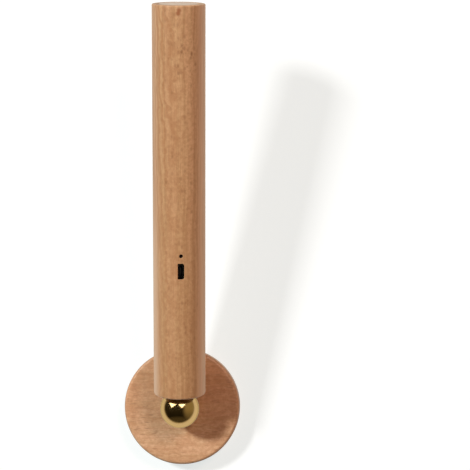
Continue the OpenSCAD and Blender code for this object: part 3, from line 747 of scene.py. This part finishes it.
def rod_profile():
    """The turned rod, from the end of the screw's hole to the floor of the cap's recess."""
    magnet_bore_z = magnet_z + MAGNET_T + RUNNING
    insert_top = magnet_bore_z + INSERT_LEN + RUNNING
    screw_top = magnet_z + SCREW_SINK + SCREW_LEN + 2 * SCREW_R
    cap_floor = ROD_LEN - CAP_T - ELECTRODE_T
    screw, insert = SCREW_R + RUNNING, INSERT_R + RUNNING
    bore, cap = MAGNET_R + RUNNING, CAP_R + LOOSE
    body = [(ROD_R, z) for z in steps_between(ROD_EDGE_LOW, ROD_LEN - ROD_EDGE_TOP, ROD_PITCH)]
    return [(0, screw_top), (screw, screw_top), (screw, insert_top), (insert, insert_top),
            (insert, magnet_bore_z), (bore, magnet_bore_z), (bore, EASED), (bore + EASED, 0),
            *arc((ROD_R - ROD_EDGE_LOW, ROD_EDGE_LOW), ROD_EDGE_LOW, -90, 0), *body,
            *arc((ROD_R - ROD_EDGE_TOP, ROD_LEN - ROD_EDGE_TOP), ROD_EDGE_TOP, 0, 90),
            (cap + EASED, ROD_LEN), (cap, ROD_LEN - EASED), (cap, cap_floor), (0, cap_floor)]


def rod_cutters():
    """The hollows of the rod: the light's channel, the pockets, the port and the holes."""
    front_y = -(ROD_R - FRONT_WALL)
    past_floor = CHANNEL_FLOOR + OVER
    channel_end = ROD_LEN - CHANNEL_TOP
    pocket_low = PORT_Z - BOARD_LEN / 2 - CLIP_T
    pocket_high = PORT_Z + BOARD_LEN / 2 + CLIP_T
    cell_low = pocket_high + RIB
    cell_high = cell_low + CELL_LEN + 2 * CELL_ROOM
    cell_half = CELL_R + LOOSE
    cell_round = arc((0, CHANNEL_FLOOR - TAPE_T - CELL_R), cell_half, 180, 360, ROUND_STEPS)
    return [
        block((-CHANNEL_HALF, CHANNEL_FLOOR, CHANNEL_LOW), (CHANNEL_HALF, 2 * ROD_R, channel_end)),
        block((-BOARD_POCKET_HALF, front_y, pocket_low), (BOARD_POCKET_HALF, past_floor, pocket_high)),
        block((-WIRE_SLOT_HALF, WIRE_SLOT_Y, pocket_high - OVER),
              (WIRE_SLOT_HALF, past_floor, cell_low + OVER)),
        upright(cell_round + [(cell_half, past_floor), (-cell_half, past_floor)], (cell_low, cell_high)),
        eased_hole(port_outline, PORT_Z, front_y + OVER),
        eased_hole(light_outline, PORT_Z + LIGHT_UP, front_y + OVER),
        drill((WIRE_X, WIRE_Y, cell_high - OVER), (WIRE_X, WIRE_Y, ROD_LEN - CAP_T), WIRE_HOLE_R),
        *[drill((0, past_floor, z), (0, TRAY_SCREW_END, z), TRAY_SCREW_R + RUNNING) for z in TRAY_SCREWS],
    ]


def make_rod():
    """The wooden rod with its hollows."""
    rod = make_object("rod_wood", lathe(rod_profile()))
    cut(rod, rod_cutters())
    settle(rod, rod_place, "rod", "rod_beech", rod_beech, "rod_shell")


def cover_outline():
    """The light cover across the rod: a curved back on two legs, with eased corners."""
    half = CHANNEL_HALF - LOOSE
    foot = CHANNEL_FLOOR + TRAY_T
    inner_half, inner_r = half - COVER_LEG, ROD_R - COVER_WALL
    outer_turn = math.degrees(math.asin((half - EASED) / ROD_R))
    inner_turn = math.degrees(math.asin(inner_half / inner_r))
    outer = arc((0, 0), ROD_R, 90 - outer_turn, 90 + outer_turn, ROUND_STEPS)
    inner = arc((0, 0), inner_r, 90 + inner_turn, 90 - inner_turn, ROUND_STEPS)
    shoulder = math.sqrt(ROD_R ** 2 - half ** 2) - EASED / 2
    return [(half, foot), (half, shoulder), *outer, (-half, shoulder), (-half, foot),
            (-inner_half, foot), *inner, (inner_half, foot)]


def make_cover():
    """The opal cover in the rod's back."""
    low = CHANNEL_LOW + LOOSE
    high = ROD_LEN - CHANNEL_TOP - LOOSE
    heights = [low, *steps_between(low, high, COVER_PITCH), high]
    cover = make_object("opal_cover", upright(cover_outline(), heights))
    settle(cover, rod_place, "rod", "opal_plastic", opal_plastic, "light_cover")


def make_cap():
    """The pale disc in the rod's upper end."""
    base = ROD_LEN - CAP_T
    profile = [(0, base), (CAP_R - EASED, base), (CAP_R, base + EASED),
               *arc((CAP_R - CAP_EDGE, ROD_LEN - CAP_EDGE), CAP_EDGE, 0, 90),
               (CAP_R / 2, ROD_LEN), (0, ROD_LEN)]
    cap = make_object("end_cap", lathe(profile))
    settle(cap, rod_place, "rod", "cap_wood", cap_wood, "touch_cap")


def make_magnet():
    """The countersunk ring magnet in the rod's lower end."""
    hole = SCREW_R + RUNNING
    top = magnet_z + MAGNET_T
    profile = [(COUNTERSINK_R, magnet_z), (MAGNET_R - EASED, magnet_z), (MAGNET_R, magnet_z + EASED),
               (MAGNET_R, top - EASED), (MAGNET_R - EASED, top), (hole, top),
               (hole, magnet_z + COUNTERSINK_R - SCREW_R)]
    ring = make_object("magnet_ring", lathe(profile, closed=True))
    settle(ring, rod_place, "magnet_head", "magnet", magnet, "rod_magnet")


# The ball, its seat, the wall plate and its pad

def make_ball():
    """The gold ball."""
    profile = [(0, -BALL_R), *arc((0, 0), BALL_R, -90, 90, BALL_STEPS)[1:-1], (0, BALL_R)]
    ball = make_object("gold_ball", lathe(profile))
    settle(ball, Matrix.Translation(ball_centre) @ wall_place, "ball", "gold", gold, "ball")


def make_seat():
    """The brass ring that the ball sits in."""
    bore = BASE_MAGNET_R + RUNNING
    top = face_z + SEAT_RISE
    dish_out = math.degrees(math.acos((ball_z - top) / dish_r))
    dish_in = math.degrees(math.asin(bore / dish_r))
    profile = [(bore, seat_low), (SEAT_R, seat_low), (SEAT_R, top - EASED), (SEAT_R - EASED, top),
               *arc((0, ball_z), dish_r, -90 + dish_out, -90 + dish_in)]
    seat = make_object("seat_ring", lathe(profile, closed=True))
    settle(seat, wall_place, "seat", "seat_brass", seat_brass, "ball_seat")


def make_plate():
    """The round wooden plate, with room for the seat, the magnet, the keeper and its screws."""
    seat_hole = SEAT_R + RUNNING
    magnet_hole = BASE_MAGNET_R + LOOSE
    keeper_hole = KEEPER_R + LOOSE
    keeper_z = pad_t + KEEPER_T
    edge_r = disc_r - DISC_EDGE
    face_rings = [(r, face_z) for r in steps_between(seat_hole + EASED, edge_r, FACE_PITCH)]
    profile = [(magnet_hole, seat_low), (seat_hole, seat_low), (seat_hole, face_z - EASED),
               (seat_hole + EASED, face_z), *face_rings,
               *arc((edge_r, face_z - DISC_EDGE), DISC_EDGE, 90, 0),
               *arc((edge_r, pad_t + DISC_EDGE), DISC_EDGE, 0, -90),
               (keeper_hole, pad_t), (keeper_hole, keeper_z), (magnet_hole, keeper_z)]
    plate = make_object("plate_wood", lathe(profile, closed=True))
    turns = [math.radians(90 + 360 * i / KEEPER_SCREWS) for i in range(KEEPER_SCREWS)]
    screws = [(KEEPER_CIRCLE_R * math.cos(t), KEEPER_CIRCLE_R * math.sin(t)) for t in turns]
    screw_end = pad_t + KEEPER_SCREW_DEPTH
    cut(plate, [drill((x, y, keeper_z - OVER), (x, y, screw_end), KEEPER_SCREW_R + RUNNING)
                for x, y in screws])
    settle(plate, wall_place, "base", "plate_beech", plate_beech, "base_disc")
    return plate


def make_pad():
    """The round adhesive pad behind the plate."""
    pad_low, pad_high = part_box("adhesive_pad")
    edge_r = (pad_high.x - pad_low.x) / 2 - PAD_EDGE
    profile = [(0, 0), *arc((edge_r, PAD_EDGE), PAD_EDGE, -90, 0),
               *arc((edge_r, pad_t - PAD_EDGE), PAD_EDGE, 0, 90), (0, pad_t)]
    pad = make_object("wall_pad", lathe(profile))
    settle(pad, wall_place, "base", "adhesive", adhesive, "adhesive_pad")
    return pad


make_rod()
make_cover()
make_cap()
make_magnet()
make_ball()
make_seat()
# Shiny surfaces don't show the plate and the pad, so the ball's rim mirrors the white wall
for unmirrored in (make_plate(), make_pad()):
    unmirrored.visible_glossy = False


# The stage: a white wall that shows the shadow, and soft light

WALL_HALF = 2.5
WALL_BEHIND = 0.5 * MM
WALL_PAINT = (0.36, 0.36, 0.36)
WALL_GLOW = (0.674, 0.722, 0.718)     # what the camera sees besides the lit paint

# Levels of the world's light, where 1 is white
WALL_MIRRORED = 0.93
SIDE_MIRRORED = 0.36
ROOM_MIRRORED = 0.03
FLOOR_MIRRORED = 0.08
WALL_LEVEL = 0.62
ROOM_LEVEL = 0.11
# Shares of them that are left straight behind, low at the side and below
BEHIND_SHARE = 0.6
LOW_SIDE_SHARE = 0.4
BELOW_SHARE = 0.2
ROOM_COLOUR = (1, 0.60, 0.46)
ROOM_MIRRORED_COLOUR = (1, 0.83, 0.45)

WHITE = (1, 1, 1)
WARM = (1, 0.66, 0.52)
WARMER = (1, 0.62, 0.47)
LIGHT_TARGET = Vector((0, -0.05, 0.10))
PANEL_ROLL = math.radians(45)


def make_wall():
    """A white wall just behind the pad. From behind it lets the view through."""
    square = ((-1, -1), (1, -1), (1, 1), (-1, 1))
    mesh = bpy.data.meshes.new("wall")
    mesh.from_pydata([(x * WALL_HALF, WALL_BEHIND, z * WALL_HALF) for x, z in square], [], [(0, 1, 2, 3)])
    wall = bpy.data.objects.new("wall", mesh)
    bpy.context.scene.collection.objects.link(wall)
    wall.visible_diffuse = False
    wall.visible_glossy = False
    wall.visible_shadow = False
    material = bpy.data.materials.new("wall")
    material.use_nodes = True
    n = Nodes(material.node_tree)
    n.tree.nodes.clear()
    paint = n.node("BsdfDiffuse", Color=rgba(WALL_PAINT)).outputs[0]
    seen = n.node("LightPath").outputs["Is Camera Ray"]
    glow = n.node("Emission", Color=rgba(WALL_GLOW), Strength=seen).outputs[0]
    lit = n.joined("AddShader", None, paint, glow).outputs[0]
    clear = n.node("BsdfTransparent").outputs[0]
    behind = n.node("NewGeometry").outputs["Backfacing"]
    n.node("OutputMaterial", Surface=n.joined("MixShader", None, behind, lit, clear).outputs[0])
    mesh.materials.append(material)


def make_world():
    """Soft light: white from the wall's side, dimmer from the room, and white where the view meets it."""
    world = bpy.data.worlds.new("studio")
    bpy.context.scene.world = world
    world.use_nodes = True
    n = Nodes(world.node_tree)
    # The direction that the light comes from: X to the right, Y to the wall, Z up, each from -1 to 1
    x, y, z = n.split(n.node("TexCoord").outputs["Generated"])
    path = n.node("LightPath").outputs
    glossy, camera = path["Is Glossy Ray"], path["Is Camera Ray"]
    # What shiny surfaces mirror: the white wall, and a dark room with a pale right side and a dim floor
    low_first = n.math("MULTIPLY_ADD", z, -0.15, y)
    wall_side = n.times(n.ramp(low_first, -0.02, 0.32, high=WALL_MIRRORED),
                        n.ramp(y, 0.95, 0.65, low=BEHIND_SHARE))
    pale_side = n.times(n.ramp(x, 0.3, 0.75, ROOM_MIRRORED, SIDE_MIRRORED),
                        n.ramp(z, -0.9, 0.1, low=LOW_SIDE_SHARE))
    low_floor = n.ramp(z, -0.55, -0.85, high=FLOOR_MIRRORED)
    mirrored = n.math("MAXIMUM", wall_side, n.math("MAXIMUM", pale_side, low_floor))
    # What falls on dull surfaces: most, and whitest, from the wall, least from below
    wall_glow = n.ramp(y, -0.25, 0.25)
    soft = n.times(n.ramp(y, -0.25, 0.25, ROOM_LEVEL, WALL_LEVEL), n.ramp(z, -0.7, 0.2, low=BELOW_SHARE))
    room = n.blend(glossy, rgba(ROOM_COLOUR), rgba(ROOM_MIRRORED_COLOUR))
    whiter = n.math("MAXIMUM", camera, n.between(glossy, wall_glow, wall_side))
    sky = n.tree.nodes["Background"]
    n.feed(sky, "Strength", n.between(camera, n.between(glossy, soft, mirrored), 1.0))
    n.feed(sky, "Color", n.blend(whiter, room, rgba(WHITE)))


def make_light(name, direction, distance, size, level, colour=WHITE, panel=False):
    """A square lamp that only dull surfaces show, or a panel on its corner that only shiny ones show.

    The level is what it gives a white surface that faces it.
    """
    data = bpy.data.lights.new(name, "AREA")
    data.shape = "SQUARE"
    data.size = size
    data.color = colour
    data.energy = level * (math.pi * distance) ** 2
    lamp = bpy.data.objects.new(name, data)
    towards = Vector(direction).normalized()
    lamp.location = LIGHT_TARGET + towards * distance
    roll = Matrix.Rotation(PANEL_ROLL if panel else 0, 3, "Z")
    lamp.rotation_euler = (towards.to_track_quat("Z", "Y").to_matrix() @ roll).to_euler()
    lamp.visible_camera = False
    lamp.visible_glossy = panel
    lamp.visible_diffuse = not panel
    bpy.context.scene.collection.objects.link(lamp)


def make_camera():
    """The photograph's camera."""
    data = bpy.data.cameras.new("camera")
    data.sensor_width = CAMERA_SENSOR
    data.lens = CAMERA_LENS
    camera = bpy.data.objects.new("camera", data)
    axes = (Matrix.Rotation(CAMERA_PAN, 3, "Z") @ Matrix.Rotation(CAMERA_ROLL, 3, "Y")
            @ Matrix.Rotation(CAMERA_TILT, 3, "X"))
    facing = Matrix.Rotation(math.radians(90), 3, "X")
    camera.matrix_world = Matrix.Translation(CAMERA_AT) @ (axes @ facing).to_4x4()
    bpy.context.scene.collection.objects.link(camera)
    bpy.context.scene.camera = camera


make_wall()
make_world()
# Four lamps light the object. What is shiny shows two panels in their place
make_light("key", (-0.646, -0.689, 0.33), distance=4.0, size=0.54, level=0.97)
make_light("right", (0.42, -0.80, 0.43), distance=3.0, size=0.85, level=0.33, colour=WARM)
make_light("fill", (0.92, -0.39, 0.0), distance=1.6, size=1.2, level=0.16, colour=WARMER)
make_light("back", (0.0, 0.98, 0.20), distance=1.6, size=1.2, level=0.45)
make_light("key_panel", (-0.610, -0.640, 0.48), distance=1.3, size=0.82, level=0.56, panel=True)
make_light("right_panel", (0.289, -0.862, 0.43), distance=1.4, size=0.70, level=0.36, panel=True)
make_camera()
bpy.context.scene.view_settings.view_transform = "Standard"
